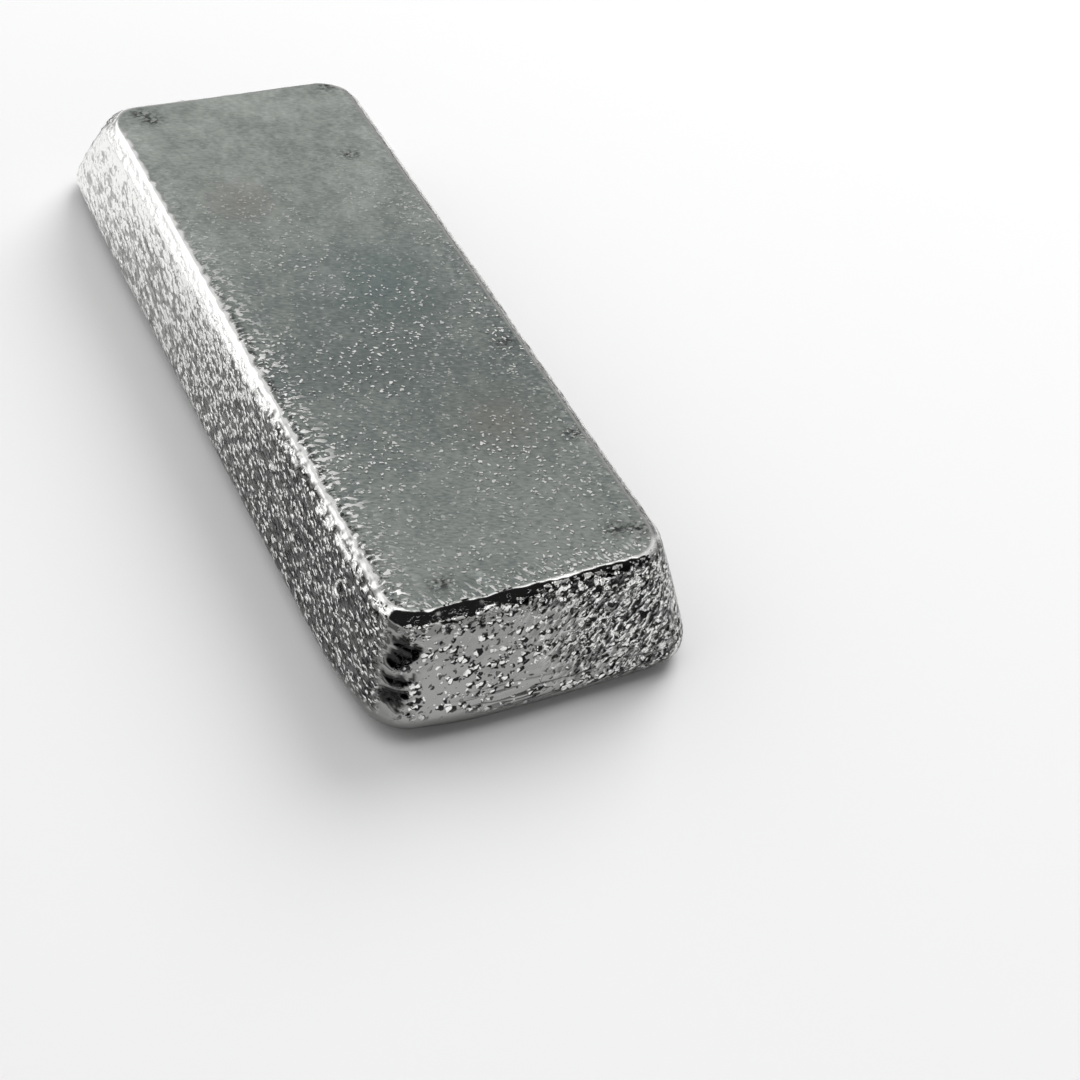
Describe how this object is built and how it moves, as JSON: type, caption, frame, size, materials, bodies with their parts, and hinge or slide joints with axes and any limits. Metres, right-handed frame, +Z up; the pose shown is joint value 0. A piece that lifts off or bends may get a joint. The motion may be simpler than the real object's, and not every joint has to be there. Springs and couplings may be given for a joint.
{
  "type": "pewter ingot",
  "caption": "Cast pewter ingot: a low bar with leaning walls and rounded corners and edges, lying on its wider open-cast face, kept as stock for melting.",
  "frame": {"origin": "centre of the lower face, the wider one that was open to the air when the ingot was cast and that it now rests on", "axes": "+X along the ingot, +Y across it, +Z up from the resting face to the face shaped by the mould's floor"},
  "size_m": [0.1114, 0.0428, 0.0146],
  "materials": {
    "pewter": "satin"
  },
  "bodies": {
    "root": {"ingot": "pewter"}
  },
  "joints": []
}
